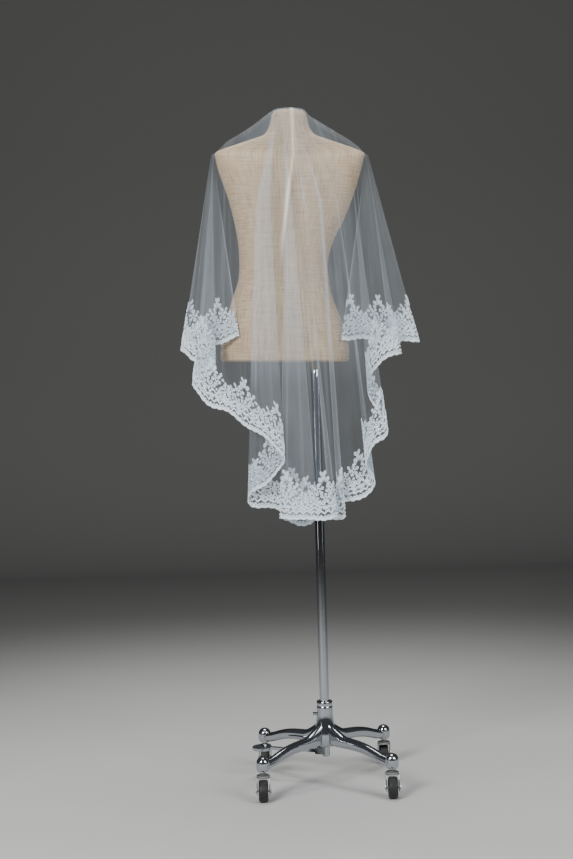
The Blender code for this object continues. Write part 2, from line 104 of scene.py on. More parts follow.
def linear(code):
    """Linear colour of an sRGB hex code: c/12.92 below 0.04045, else ((c + 0.055)/1.055)^2.4."""
    channels = [int(code[i:i + 2], 16) / 255.0 for i in (0, 2, 4)]
    return (*[c / 12.92 if c <= 0.04045 else ((c + 0.055) / 1.055) ** 2.4 for c in channels], 1.0)


def finish_of(name, colour, **values):
    """Material with a Principled shader; values name its sockets in lower case."""
    material = bpy.data.materials.new(name)
    material.use_nodes = True
    shader = material.node_tree.nodes["Principled BSDF"]
    shader.inputs["Base Color"].default_value = linear(colour)
    for key, value in values.items():
        shader.inputs[key.replace("_", " ").title()].default_value = value
    return material


def add(material, kind, inputs=None, to=None, **settings):
    """Node with its settings; inputs are values or other nodes' outputs, to is the Principled socket it feeds.

    What it feeds is its first output that is in use, which on a colour mix is the mixed colour.
    """
    tree = material.node_tree
    node = tree.nodes.new(kind)
    for key, value in settings.items():
        setattr(node, key, value)
    for key, value in (inputs or {}).items():
        if isinstance(value, bpy.types.NodeSocket):
            tree.links.new(value, node.inputs[key])
        else:
            node.inputs[key].default_value = value
    if to:
        result = next(socket for socket in node.outputs if socket.enabled)
        tree.links.new(result, tree.nodes["Principled BSDF"].inputs[to])
    return node


# Chromed steel: bright, with the faint ripple of buffing under the plate, 25 mm wide, and fine wipe marks 2 mm
# wide.
chrome = finish_of("polished chrome plate", "B4B8BE", metallic=1.0, roughness=0.09)
place = add(chrome, "ShaderNodeTexCoord").outputs["Object"]
ripple = add(chrome, "ShaderNodeTexNoise", {"Vector": place, "Scale": 40.0, "Detail": 2.0})
wipe = add(chrome, "ShaderNodeTexNoise", {"Vector": place, "Scale": 500.0, "Detail": 3.0})
add(chrome, "ShaderNodeMapRange", {"Value": wipe.outputs["Fac"], "From Min": 0.3, "From Max": 0.8,
                                   "To Min": 0.06, "To Max": 0.16}, to="Roughness")
add(chrome, "ShaderNodeBump", {"Height": ripple.outputs["Fac"], "Strength": 0.15, "Distance": 0.0006}, to="Normal")

pole_outline = [(0.0, POLE_LOW), (POLE_RADIUS - 0.8, POLE_LOW), (POLE_RADIUS, POLE_LOW + 0.8)]
pole_outline += [(POLE_RADIUS, z) for z in np.linspace(POLE_LOW + 40.0, POLE_HIGH - 0.8, 24)]
pole_outline += [(POLE_RADIUS - 0.6, POLE_HIGH), (0.0, POLE_HIGH)]
pole = surface("pole_tube", turned(pole_outline), chrome, "mast", ["pole"], wrap=True)


# Hub and collar: one casting, ground, polished and chromed, with a rolled lip where the pole goes in.
# radius, height
HUB_OUTLINE = (
    (0.0, 96.0), (18.0, 96.0), (21.5, 97.0), (24.5, 99.5), (27.0, 103.5), (28.6, 112.0), (28.9, 124.0),
    (27.6, 137.0), (25.6, 149.0), (23.6, 161.0), (22.3, 172.0), (21.6, 181.0), (21.3, 191.0), (21.3, 200.0),
    (21.0, 203.0), (20.2, 204.0), (20.2, 205.0), (21.0, 206.0), (21.3, 208.0), (21.3, 214.5), (20.6, 217.0),
    (18.8, 218.2), (15.0, 218.2), (13.4, 217.4), (12.9, 216.0), (12.9, 110.1), (0.0, 110.1),
)
hub = surface("hub_casting", turned(HUB_OUTLINE), chrome, "base", ["hub"], wrap=True)


# Legs: four chromed castings that sweep down and out of the hub to a dome over each castor.
# A leg is one closed skin of rounded sections along a smooth path, thicker where it leaves the hub.
# distance from the pole, height of the middle, height of the section, width of the section
LEG_SECTIONS = np.array([
    (16.0, 134.0, 66.0, 26.0), (34.0, 125.0, 51.0, 26.0), (66.0, 116.0, 33.0, 25.0), (90.0, 114.0, 30.0, 24.5),
    (118.0, 112.0, 28.5, 24.0), (147.0, 107.5, 28.0, 23.0), (172.0, 101.0, 27.5, 22.5), (196.0, 93.5, 26.5, 22.0),
    (226.0, 86.5, 25.0, 21.0),
])
LEG_ROUNDNESS = 0.8
# radius, height
DOME_OUTLINE = (
    (0.0, 74.0), (13.2, 74.0), (14.6, 74.8), (15.4, 77.0), (17.0, 79.6), (17.4, 82.0), (17.4, 95.0), (16.8, 99.5),
    (15.2, 103.6), (12.4, 107.4), (8.6, 110.2), (4.4, 111.7), (0.0, 112.2),
)
CORNERS = (("front_left", -1, -1), ("front_right", 1, -1), ("rear_left", -1, 1), ("rear_right", 1, 1))
CASTOR_REACH = 165.0


def smooth_rows(table, count):
    """Rows resampled on a Catmull-Rom curve: each stretch's end slopes are half the step across its neighbours."""
    table = np.asarray(table, float)
    place = np.linspace(0.0, len(table) - 1.0, count)
    k = np.clip(place.astype(int), 0, len(table) - 2)
    t = (place - k)[:, None]
    slope = np.gradient(table, axis=0)
    return ((2 * t ** 3 - 3 * t ** 2 + 1) * table[k] + (t ** 3 - 2 * t ** 2 + t) * slope[k]
            + (3 * t ** 2 - 2 * t ** 3) * table[k + 1] + (t ** 3 - t ** 2) * slope[k + 1])


def leg_grid(turn):
    """Rounded oval sections, |cos|^0.8 wide and |sin|^0.8 high, along +X and then turned about the pole."""
    distance, middle, height, width = smooth_rows(LEG_SECTIONS, 70).T[:, :, None]
    angle = np.linspace(0.0, math.tau, 40, endpoint=False)[None, :]
    across = np.sign(np.cos(angle)) * np.abs(np.cos(angle)) ** LEG_ROUNDNESS * width / 2
    up = np.sign(np.sin(angle)) * np.abs(np.sin(angle)) ** LEG_ROUNDNESS * height / 2
    along = distance * np.ones_like(angle)
    c, s = math.cos(turn), math.sin(turn)
    grid = np.stack([along * c - across * s, along * s + across * c, middle + up], axis=-1)
    ends = [grid[i].mean(axis=0, keepdims=True) * np.ones((grid.shape[1], 1)) for i in (0, -1)]
    return np.concatenate([ends[0][None], grid, ends[1][None]])


for corner, right, ahead in CORNERS:
    leg = surface(f"cast_leg_{corner}", leg_grid(math.atan2(ahead, right)), chrome, "base",
                  [f"leg_{corner}"], wrap=True)
    centre = (right * CASTOR_REACH, ahead * CASTOR_REACH, 0.0)
    dome = surface(f"castor_dome_{corner}", turned(DOME_OUTLINE, 48, centre), chrome, "base",
                   [f"dome_{corner}"], wrap=True)
for node in ("clamp_screw", "pedal_clevis", "foot_pedal"):
    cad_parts[node].material_slots[0].material = chrome


# Castors: zinc plated pressings with black rubber wheels.
# Zinc: dull grey plate with a soft crystal pattern, 4 mm across, rougher where it was handled.
zinc = finish_of("zinc plated pressing", "A9AAA8", metallic=1.0, roughness=0.34)
place = add(zinc, "ShaderNodeTexCoord").outputs["Object"]
crystal = add(zinc, "ShaderNodeTexVoronoi", {"Vector": place, "Scale": 250.0})
smudge = add(zinc, "ShaderNodeTexNoise", {"Vector": place, "Scale": 60.0, "Detail": 4.0})
add(zinc, "ShaderNodeMapRange", {"Value": smudge.outputs["Fac"], "To Min": 0.24, "To Max": 0.46}, to="Roughness")
add(zinc, "ShaderNodeMix", {"Factor": crystal.outputs["Distance"], "A": linear("9C9D9C"), "B": linear("BDBEBB")},
    to="Base Color", data_type="RGBA")
# Moulded rubber: near black, satin, with grit in the tread 1.5 mm across and dust that lightens it.
rubber = finish_of("moulded black rubber", "17181A", roughness=0.55)
place = add(rubber, "ShaderNodeTexCoord").outputs["Object"]
grit = add(rubber, "ShaderNodeTexNoise", {"Vector": place, "Scale": 700.0, "Detail": 3.0})
dust = add(rubber, "ShaderNodeTexNoise", {"Vector": place, "Scale": 45.0, "Detail": 4.0})
add(rubber, "ShaderNodeBump", {"Height": grit.outputs["Fac"], "Strength": 0.4, "Distance": 0.0004}, to="Normal")
add(rubber, "ShaderNodeMix", {"Factor": dust.outputs["Fac"], "A": linear("0E0F10"), "B": linear("26272A")},
    to="Base Color", data_type="RGBA")

WHEEL_RADIUS = 28.0
TRAIL = 18.0
# half width, radius, from one side of the hub bore out over the tyre to its middle
WHEEL_PROFILE = (
    (11.0, 3.6), (11.0, 8.6), (10.6, 9.4), (9.4, 10.6), (9.0, 12.0), (9.0, 18.0), (9.6, 19.6), (11.4, 20.4),
    (12.0, 21.6), (11.9, 23.4), (11.0, 25.8), (9.6, 27.2), (7.4, 27.9), (3.0, WHEEL_RADIUS),
)


def wheel_grid(centre_x, axle_y):
    """Tyre and hub profile (half width, radius) carried round the axle, and mirrored for the other side."""
    half = np.array(WHEEL_PROFILE)
    outline = np.vstack([half, half[::-1] * (-1.0, 1.0)])
    x, radius = outline.T
    angle = np.linspace(0.0, math.tau, 72, endpoint=False)
    return np.stack([centre_x + x[:, None] * np.ones(72), axle_y + radius[:, None] * np.cos(angle),
                     WHEEL_RADIUS + radius[:, None] * np.sin(angle)], axis=-1)


for corner, right, ahead in CORNERS:
    grid = wheel_grid(right * CASTOR_REACH, ahead * (CASTOR_REACH + TRAIL))
    grid = np.concatenate([grid, grid[:1]])
    wheel = surface(f"rubber_wheel_{corner}", grid, rubber, f"wheel_{corner}", [f"wheel_{corner}"],
                    wrap=True, flip=True)
    for node in (f"stem_{corner}", f"fork_{corner}"):
        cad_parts[node].material_slots[0].material = zinc


# Dress form: a smooth torso shell under a fitted cover of ecru linen, sewn from panels with seams down the sides,
# at the middle of the back and through the shoulder blades, and closed by a low dome at the neck.
# height, middle in x, half width, depth to the back, depth to the front
FORM_SECTIONS = (
    (1123.0, -80.0, 158.0, 86.0, 104.0), (1130.0, -80.0, 170.0, 94.0, 114.0), (1185.0, -79.0, 167.0, 98.0, 116.0),
    (1240.0, -80.0, 150.0, 96.0, 110.0), (1291.0, -81.0, 132.0, 90.0, 100.0), (1338.0, -77.0, 120.0, 84.0, 90.0),
    (1388.0, -76.0, 117.0, 82.0, 86.0), (1443.0, -69.0, 127.0, 84.0, 98.0), (1501.0, -59.0, 147.0, 86.0, 128.0),
    (1561.0, -54.0, 167.0, 85.0, 130.0), (1622.0, -54.0, 187.0, 76.0, 104.0), (1655.0, -53.0, 195.0, 58.0, 70.0),
    (1671.0, -52.0, 196.0, 38.0, 42.0), (1681.8, -52.0, 176.0, 35.0, 38.0), (1693.4, -51.0, 142.0, 37.0, 38.0),
    (1706.0, -51.0, 103.0, 41.0, 41.0), (1718.5, -51.0, 69.0, 44.0, 44.0), (1737.3, -52.0, 54.0, 46.0, 45.0),
    (1755.2, -51.0, 49.0, 45.0, 45.0), (1769.0, -51.0, 46.0, 43.0, 43.0), (1777.5, -51.0, 41.0, 38.0, 38.0),
    (1782.0, -51.0, 31.0, 29.0, 29.0), (1783.5, -51.0, 16.0, 15.0, 15.0),
)
FORM_SQUARENESS = 2.25
FORM_LEAN = 0.028
FORM_SEAMS = (0.0, 180.0, 270.0, 236.0, 304.0, 90.0, 56.0, 124.0)
SEAM_DEPTH, SEAM_WIDTH = 0.9, 2.2
GIRTH = 0.9


def form_grid(columns=256):
    """Superellipse sections |x/a|^n + |y/b|^n = 1 on smooth heights, dipped along the seams and leaning right.

    Also gives each point's place on the cover laid flat: metres round the form and metres up it.
    """
    fine = smooth_rows(FORM_SECTIONS, 190)
    rings = [fine[0] * (1, 1, 0, 0, 0)] + list(fine) + [fine[-1] * (1, 1, 0, 0, 0)]
    height, middle, half, behind, before = np.array(rings).T[:, :, None]
    angle = np.linspace(0.0, math.tau, columns, endpoint=False)[None, :]
    seams = np.radians(FORM_SEAMS)[:, None, None]
    apart = np.abs((angle[None] - seams + math.pi) % math.tau - math.pi).min(axis=0)
    dip = SEAM_DEPTH * np.exp(-(apart * half / SEAM_WIDTH) ** 2)
    c, s = np.cos(angle), np.sin(angle)
    x = np.sign(c) * np.abs(c) ** (2 / FORM_SQUARENESS) * np.maximum(half - dip, 0.0)
    y = np.sign(s) * np.abs(s) ** (2 / FORM_SQUARENESS) * np.maximum(np.where(s > 0, before, behind) - dip, 0.0)
    grid = np.stack([middle + x, y, height - FORM_LEAN * x], axis=-1)
    around = np.linspace(0.0, 1.0, columns)[None, :] * GIRTH * np.ones_like(x)
    return grid, np.stack([around, height * 0.001 * np.ones_like(x)], axis=-1)


# Plain woven linen: slubby ecru threads. Real threads are 0.6 mm apart; they are drawn 1.5 mm apart so that the
# weave shows, with slubs drawn 4 mm thick and 50 mm long both ways, and a warm tone that varies over a hand's
# breadth.
linen = finish_of("plain woven linen", "C2A683", roughness=0.88, sheen_weight=0.1)
place = add(linen, "ShaderNodeUVMap", uv_map="flat").outputs["UV"]
threads = []
for axis, stretch in (("X", (1.0, 0.055, 1.0)), ("Y", (0.055, 1.0, 1.0))):
    wave = add(linen, "ShaderNodeTexWave", {"Vector": place, "Scale": 105.0, "Distortion": 1.2, "Detail": 2.0,
                                            "Detail Scale": 3.0}, bands_direction=axis)
    stretched = add(linen, "ShaderNodeMapping", {"Vector": place, "Scale": stretch})
    slub = add(linen, "ShaderNodeTexNoise", {"Vector": stretched.outputs[0], "Scale": 300.0, "Detail": 3.0})
    threads.append((wave, slub))
weave = add(linen, "ShaderNodeMath", {0: threads[0][0].outputs["Fac"], 1: threads[1][0].outputs["Fac"]},
            operation="MULTIPLY")
slubs = add(linen, "ShaderNodeMath", {0: threads[0][1].outputs["Fac"], 1: threads[1][1].outputs["Fac"]},
            operation="ADD")
both = add(linen, "ShaderNodeMath", {0: weave.outputs[0], 1: 0.25, 2: slubs.outputs[0]}, operation="MULTIPLY_ADD")
ramp = add(linen, "ShaderNodeMapRange", {"Value": both.outputs[0], "From Min": 0.82, "From Max": 1.3})
cloud = add(linen, "ShaderNodeTexNoise", {"Vector": place, "Scale": 9.0, "Detail": 3.0})
tone = add(linen, "ShaderNodeMix", {"Factor": ramp.outputs[0], "A": linear("957A5B"), "B": linear("D0BB9A")},
           data_type="RGBA")
patchy = add(linen, "ShaderNodeMapRange", {"Value": cloud.outputs["Fac"], "From Min": 0.3, "From Max": 1.0})
add(linen, "ShaderNodeMix", {"Factor": patchy.outputs[0], "A": tone.outputs["Result"], "B": linear("BBA080")},
    to="Base Color", data_type="RGBA")
add(linen, "ShaderNodeBump", {"Height": both.outputs[0], "Strength": 0.35, "Distance": 0.0006}, to="Normal")

grid, flat = form_grid()
torso = surface("linen_torso", grid, linen, "mast", ["dress_form"], wrap=True, uv=flat)


# Veil: one wide panel of soft tulle, cut as a flat sheet with rounded corners, laid over the neck and both
# shoulders and left to fall in folds. Each fold is a line from the front edge over the ridge down to the hem.
# fold, place along the ridge from 0 to 1, then x y z at the shoulder blades, then x y z at the hem
VEIL_FOLDS = (
    ("left_edge", 0.020, -256, 22, 1674, -197, -85, 1193),
    ("left_inner", 0.024, -258, 14, 1674, -229, -78, 1184),
    ("left_far", 0.029, -259, 7, 1674, -288, -40, 1179),
    ("left_outer", 0.036, -259, 0, 1673, -345, -25, 1176),
    ("left_near", 0.045, -258, -8, 1671, -326, -80, 1142),
    ("left_tuck", 0.056, -256, -17, 1668, -258, -110, 1111),
    ("left_corner", 0.070, -252, -28, 1663, -315, -138, 1077),
    ("cascade_1", 0.095, -241, -48, 1650, -291, -165, 1035),
    ("cascade_2", 0.150, -216, -75, 1621, -228, -180, 998),
    ("cascade_3", 0.260, -175, -106, 1572, -158, -186, 948),
    ("cascade_fold", 0.414, -105, -126, 1539, -89, -178, 875),
    ("under_1", 0.423, -125, -111, 1538, -137, -154, 817),
    ("under_corner", 0.432, -145, -97, 1537, -185, -134, 770),
    ("under_back", 0.440, -118, -93, 1535, -142, -115, 752),
    ("centre_back", 0.448, -81, -97, 1531, -62, -115, 732),
    ("centre_tip", 0.455, -50, -107, 1530, -6, -130, 729),
    ("centre_mid", 0.462, -61, -114, 1529, -58, -152, 707),
    ("centre_left", 0.470, -70, -121, 1528, -102, -172, 730),
    ("centre_front", 0.483, -48, -128, 1527, -35, -190, 720),
    ("centre_right", 0.498, -29, -123, 1527, 42, -178, 727),
    ("tuck_2", 0.510, -22, -116, 1528, 24, -160, 718),
    ("slim_pleat", 0.522, 27, -118, 1531, 62, -145, 729),
    ("slim_tuck", 0.532, 19, -108, 1535, 46, -127, 748),
    ("right_low", 0.546, 37, -103, 1538, 88, -114, 764),
    ("right_low_tip", 0.562, 66, -104, 1540, 143, -112, 798),
    ("right_panel_left", 0.579, 73, -112, 1531, 121, -137, 860),
    ("right_panel_low", 0.617, 80, -110, 1545, 131, -152, 885),
    ("right_panel", 0.700, 92, -106, 1562, 146, -165, 911),
    ("right_panel_fold", 0.770, 106, -92, 1589, 174, -158, 938),
    ("right_tuck", 0.815, 108, -78, 1612, 129, -125, 1052),
    ("right_near", 0.890, 130, -56, 1632, 166, -100, 1120),
    ("right_near_fold", 0.928, 147, -36, 1650, 221, -72, 1140),
    ("right_tuck_2", 0.944, 151, -22, 1656, 199, -45, 1160),
    ("right_outer", 0.956, 154, -6, 1660, 272, -12, 1177),
    ("right_far", 0.966, 154, 6, 1662, 205, 0, 1180),
    ("right_far_2", 0.974, 153, 14, 1662, 140, -28, 1178),
    ("right_edge", 0.981, 151, 22, 1662, 70, -66, 1184),
)
# x and height of the line that the cloth lies over, from shoulder tip over the neck to shoulder tip
RIDGE = ((-257.0, 1682.0), (-103.5, 1771.5), (-92.5, 1780.5), (-79.0, 1784.8), (-51.0, 1786.0), (-23.0, 1783.6),
         (-9.5, 1778.5), (1.5, 1768.5), (154.0, 1670.0))
PLEAT_DEPTH = -112.0
TIP_DEPTH = 44.0
CURVE_REACH = 0.9
ROWS_BETWEEN_KNOTS = (4, 4, 5, 12, 12, 46)
TULLE_ABOVE_HEM = 2.0
LACE_BAND = 66.0
# the pressed centre crease: heights, downwards, and its place across
CENTRE_CREASE = ((-1790, -1653, -1581, -1499, -1440, -1385, -1290), (-44, -44, -56, -68, -77, -82, -92))


def unit(vectors):
    """Vectors brought to length 1."""
    return vectors / np.maximum(np.linalg.norm(vectors, axis=-1, keepdims=True), 1e-9)


def spline(knots, places):
    """Smooth curve through knots: each stretch is a cubic whose end directions halve the corner there.

    places counts in knots, so 2.5 lies halfway from the third knot to the fourth.
    """
    chords = np.diff(knots, axis=0)
    ways = unit(chords)
    heads = np.vstack([ways[:1], unit(ways[:-1] + ways[1:]), ways[-1:]])
    k = np.clip(np.floor(places).astype(int), 0, len(chords) - 1)
    t = (places - k)[:, None]
    reach = np.linalg.norm(chords, axis=1)[k][:, None] * CURVE_REACH
    return ((2 * t ** 3 - 3 * t ** 2 + 1) * knots[k] + (t ** 3 - 2 * t ** 2 + t) * heads[k] * reach
            + (3 * t ** 2 - 2 * t ** 3) * knots[k + 1] + (t ** 3 - t ** 2) * heads[k + 1] * reach)


def veil_knots():
    """Knots of each fold, front edge first: front, ridge, rim, back, middle, blade, hem.

    Folds near a shoulder tip fan out from it, the others lie over the ridge, straight back, and hang from the
    shoulder blades to the hem. neck is 0 on the shoulders and 1 on top of the neck, where the cloth lies further
    out. behind is 0 for a fold that stays in front of the ridge and 1 for one that reaches the back.
    """
    folds = np.array([row[1:] for row in VEIL_FOLDS], float)
    along, blade, hem = folds[:, 0], folds[:, 1:4], folds[:, 4:]
    line = np.array(RIDGE)
    travel = np.concatenate([[0.0], np.cumsum(np.linalg.norm(np.diff(line, axis=0), axis=1))])
    x, z = (np.interp(along * travel[-1], travel, line[:, i]) for i in (0, 1))
    zero = np.zeros_like(x)
    ridge = np.stack([x, zero, z], axis=1)
    (foot, _), (brow, _), _, (middle_x, _) = RIDGE[1:5]
    neck = np.clip(1.0 + (middle_x - brow - np.abs(x - middle_x)) / (brow - foot), 0.0, 1.0)
    front = ridge + np.stack([zero, 22.0 + 8.0 * neck, -9.0 * (1.0 - neck)], axis=1)
    rim = ridge + np.stack([zero, -12.0 - 25.0 * neck, -1.0 + neck], axis=1)
    apart = 0.4 * (blade[:, 1] - PLEAT_DEPTH)
    back = ridge + np.stack([zero, -20.0 + neck * (apart - 33.0), -6.0 - 5.0 * neck], axis=1)
    swell = np.stack([zero, -9.0 * np.clip((back[:, 2] - blade[:, 2]) / 200.0, 0.0, 1.0), zero], axis=1)
    behind = np.clip(-blade[:, 1] / TIP_DEPTH, 0.0, 1.0)[:, None]
    upper = []
    for share, full in ((0.25, ridge), (0.45, rim), (0.65, back), (0.83, 0.5 * (back + blade) + swell)):
        straight = front + (blade - front) * share
        upper.append(straight + (full - straight) * behind)
    return [front, *upper, blade, hem]


def fold_places(spacing):
    """Fold numbers with fractions between them, about a spacing in mm apart and closer where a fold bends.

    Half of each step is even and half goes as (1 - cos(pi e)) / 2, which gathers the places at the folds.
    """
    places = []
    for k, length in enumerate(np.linalg.norm(np.diff(veil_knots()[-1], axis=0), axis=1)):
        parts = max(6, math.ceil(length / spacing))
        even = np.arange(parts) / parts
        places.append(k + 0.5 * even + 0.5 * (0.5 - 0.5 * np.cos(math.pi * even)))
    return np.concatenate([*places, [len(VEIL_FOLDS) - 1.0]])


def hem_travel(places):
    """Length along the hem up to each place, in millimetres."""
    hem = spline(veil_knots()[-1], places)
    return np.concatenate([[0.0], np.cumsum(np.linalg.norm(np.diff(hem, axis=0), axis=1))])


def veil_grid(places):
    """Rows of the cloth from front edge to hem at each place: straight between knots, then corners eased thrice."""
    knots = [spline(knot, places) for knot in veil_knots()]
    knots[-1] = knots[-1] + unit(knots[-2] - knots[-1]) * TULLE_ABOVE_HEM
    rows = []
    for first, second, count in zip(knots, knots[1:], ROWS_BETWEEN_KNOTS):
        rows += [first + (second - first) * step / count for step in range(count)]
    grid = np.stack([*rows, knots[-1]])
    for _ in range(3):
        grid[1:-1] = 0.25 * grid[:-2] + 0.5 * grid[1:-1] + 0.25 * grid[2:]
    return grid


def fold_sharpness(places):
    """How near each place is to a fold that doubles back: 1 on a hairpin, falling off over 5 mm along the hem."""
    knots = veil_knots()[-1]
    ways = unit(np.diff(knots, axis=0))
    turn = 0.5 - 0.5 * np.sum(ways[:-1] * ways[1:], axis=1)
    travel = hem_travel(places)
    at = np.interp(np.arange(1, len(knots) - 1), places, travel)
    near = np.exp(-((travel[:, None] - at[None, :]) / 5.0) ** 2)
    return (near * np.clip(turn * 1.3 - 0.1, 0.0, 1.0)).max(axis=1)


# Soft nylon tulle: fine hexagonal net, so sheer that one layer hides about a sixteenth of what is behind it. Real
# holes are 1.2 mm; they are drawn 2.6 mm wide so that the net shows. Pressed folds and the rolled edge are denser,
# the net bunches into soft streaks about 10 mm wide that run down the fall, and the crease pressed down the middle
# of the back is denser too. Along that crease a painted highlight is mixed into the colour: a brighter, warmer white.
tulle = finish_of("soft nylon tulle", "E4EAF1", roughness=0.7, sheen_weight=0.25)
place = add(tulle, "ShaderNodeUVMap", uv_map="flat").outputs["UV"]
net = add(tulle, "ShaderNodeTexVoronoi", {"Vector": place, "Scale": 380.0, "Randomness": 0.25},
          feature="DISTANCE_TO_EDGE")
thread = add(tulle, "ShaderNodeMapRange", {"Value": net.outputs["Distance"], "From Min": 0.0, "From Max": 0.22,
                                           "To Min": 1.35, "To Max": 0.8})
drift = add(tulle, "ShaderNodeTexNoise", {"Vector": place, "Scale": 14.0, "Detail": 3.0})
uneven = add(tulle, "ShaderNodeMapRange", {"Value": drift.outputs["Fac"], "To Min": 0.75, "To Max": 1.25})
density = add(tulle, "ShaderNodeAttribute", attribute_name="cloth_density")
long_way = add(tulle, "ShaderNodeMapping", {"Vector": place, "Scale": (62.0, 2.2, 1.0)})
streak = add(tulle, "ShaderNodeTexNoise", {"Vector": long_way.outputs[0], "Scale": 1.0, "Detail": 4.0,
                                           "Roughness": 0.6})
creased = add(tulle, "ShaderNodeMapRange", {"Value": streak.outputs["Fac"], "From Min": 0.33, "From Max": 0.72,
                                            "To Min": 0.7, "To Max": 1.5})
drawn = add(tulle, "ShaderNodeMath", {0: creased.outputs[0], 1: uneven.outputs[0]}, operation="MULTIPLY")
part = add(tulle, "ShaderNodeMath", {0: thread.outputs[0], 1: drawn.outputs[0]}, operation="MULTIPLY")
# Painted highlight: the centre crease mixes the colour towards a bright warm white, which stands in for light on the
# pleat.
crease = add(tulle, "ShaderNodeAttribute", attribute_name="painted_crease_highlight")
add(tulle, "ShaderNodeMix", {"Factor": crease.outputs["Fac"], "A": linear("CAD7E3"), "B": linear("FFF3DA")},
    to="Base Color", data_type="RGBA")
add(tulle, "ShaderNodeMath", {0: part.outputs[0], 1: density.outputs["Fac"]}, to="Alpha", operation="MULTIPLY",
    use_clamp=True)

places = fold_places(4.0)
grid = veil_grid(places)
steps = np.linalg.norm(np.diff(grid, axis=0), axis=2)
down = np.concatenate([np.zeros((1, len(places))), np.cumsum(steps, axis=0)])
travel = hem_travel(places)
flat = np.stack([np.ones_like(down) * travel * 0.001, down * 0.001], axis=-1)
veil = surface("tulle_veil", grid, tulle, "mast", [f"tulle_{s}" for s in
               ("left", "left_back", "centre", "right_back", "right")], flip=True, uv=flat, merge=False)


def centre_crease(grid):
    """1 on the pressed crease down the middle of the back, falling off over 5 mm across and fading downwards."""
    x, y, z = np.moveaxis(grid, -1, 0)
    apart = x - np.interp(-z, *CENTRE_CREASE)
    fade = np.clip((z - 1340.0) / 110.0, 0.0, 1.0) * (y < -20.0)
    return np.exp(-(apart / 4.6) ** 2) * fade


def pressed_lines(down, travel, count=44):
    """Hairline creases down the fall: each is 1 on a line, falls off over 1.6 mm and fades in and out along it.

    down and travel are each point's way from the front edge and along the hem, in millimetres.
    """
    rng = np.random.default_rng(11)
    share = down / down[-1:]
    lines = np.zeros_like(down)
    for start in rng.uniform(0.02, 0.98, count) * travel[-1]:
        bend = start + rng.normal(0.0, 9.0) * (share - 0.5) + rng.normal(0.0, 3.0) * np.sin(math.pi * share)
        middle, reach = rng.uniform(0.35, 0.8), rng.uniform(0.15, 0.4)
        fade = np.exp(-((share - middle) / reach) ** 2) * rng.uniform(0.4, 1.0)
        lines = np.maximum(lines, fade * np.exp(-((travel[None, :] - bend) / 1.6) ** 2))
    return lines


def cloth_density(grid, places, down, travel):
    """Alpha of the cloth: 0.06 for the net alone, and more at folds, front edges and creases.

    It is also denser under the lace, round the neck, and where the cloth is gathered at the back.
    """
    sharp = fold_sharpness(places)[None, :]
    edge = np.exp(-np.minimum(travel, travel[-1] - travel)[None, :] / 3.0)
    above_hem, height = down[-1:] - down, grid[..., 2]
    under = 0.05 / (1.0 + np.exp((above_hem - LACE_BAND) / 7.0))
    neck = 0.03 * np.clip((height - 1640.0) / 110.0, 0.0, 1.0)
    middle = np.clip((places - 8.5) / 1.5, 0.0, 1.0) * np.clip((28.0 - places) / 3.0, 0.0, 1.0)
    gathered = 0.07 * middle[None, :] * np.clip((height - 1060.0) / 140.0, 0.0, 1.0)
    base = 0.060 + 0.23 * sharp + 0.30 * edge + 0.16 * pressed_lines(down, travel)
    return base + under + neck + gathered + 0.34 * centre_crease(grid)


# Painted highlight: the second attribute carries the centre crease into the tulle's colour. In the density the same
# crease only thickens the net.
for name, value in (("cloth_density", cloth_density(grid, places, down, travel)),
                    ("painted_crease_highlight", centre_crease(grid))):
    mark = veil.data.attributes.new(name, "FLOAT", "POINT")
    mark.data.foreach_set("value", value.ravel())


# Lace edging: an applied border of corded cotton lace, worked in one strip and sewn on the tulle's lower edge from
# front edge to front edge. Common five-petal flowers, leaves and wavy cords in repeats of 105 mm, a leaf sprig
# standing up in each, over a scalloped lower border.
LACE_REPEAT = 105.0
LACE_PHASE = 7.5
# middle along the repeat from its sprig, height above the hem, radius, number of petals, turn in degrees
LACE_FLOWERS = (
    (-17, 68, 15.5, 5, 20), (16, 66, 15.0, 5, 50), (-43, 52, 14.5, 5, 5), (44, 50, 14.5, 5, 30),
    (0, 45, 13.5, 5, 12), (-24, 40, 12.0, 5, 60), (25, 38, 12.0, 5, 10), (-42, 21, 9.5, 5, 30),
    (-21, 18, 9.0, 5, 0), (0, 20, 9.5, 5, 40), (21, 18, 9.0, 5, 15), (42, 21, 9.5, 5, 50),
)
# foot along the repeat, height, direction in degrees, length, width
LACE_LEAVES = (
    (0, 86, 92, 21, 12), (3, 85, 48, 18, 11), (-3, 85, 134, 17, 11), (5, 82, 8, 15, 9), (-6, 82, 172, 14, 9),
    (-1, 100, 60, 16, 9.5), (-1, 100, 122, 16, 9.5), (-43, 62, 95, 11, 8), (-40, 60, 40, 11, 8),
    (-47, 60, 146, 11, 8), (26, 75, 66, 14, 9), (29, 70, 15, 13, 8.5), (44, 60, 85, 11, 8), (48, 58, 36, 11, 8),
    (-28, 74, 125, 12, 8), (-8, 58, 255, 12, 7.5), (9, 58, 285, 12, 7.5), (-30, 56, 215, 11, 7),
    (32, 54, 250, 11, 7), (52, 36, 100, 12, 7.5), (-12, 32, 200, 12, 7.5), (12, 30, 340, 12, 7.5),
    (-40, 38, 290, 10, 7), (42, 36, 265, 10, 7), (-52, 36, 60, 11, 7.5),
)
LACE_TOP = 0.4
PETAL_RELIEF = 1.9
CORD_RELIEF = 1.3
FLOWER_RING = 0.27


def lace_frame(spacing=0.4):
    """Hem points, directions up the fall and outward normals, about a spacing in mm apart, with their travel."""
    places = np.linspace(0.0, len(VEIL_FOLDS) - 1.0, int(2400.0 / spacing))
    blade, hem = (spline(knot, places) for knot in veil_knots()[-2:])
    up = unit(blade - hem)
    return hem, up, unit(np.cross(np.gradient(hem, axis=0), up)), hem_travel(places)


LACE_HEM, LACE_UP, LACE_OUT, LACE_TRAVEL = lace_frame()


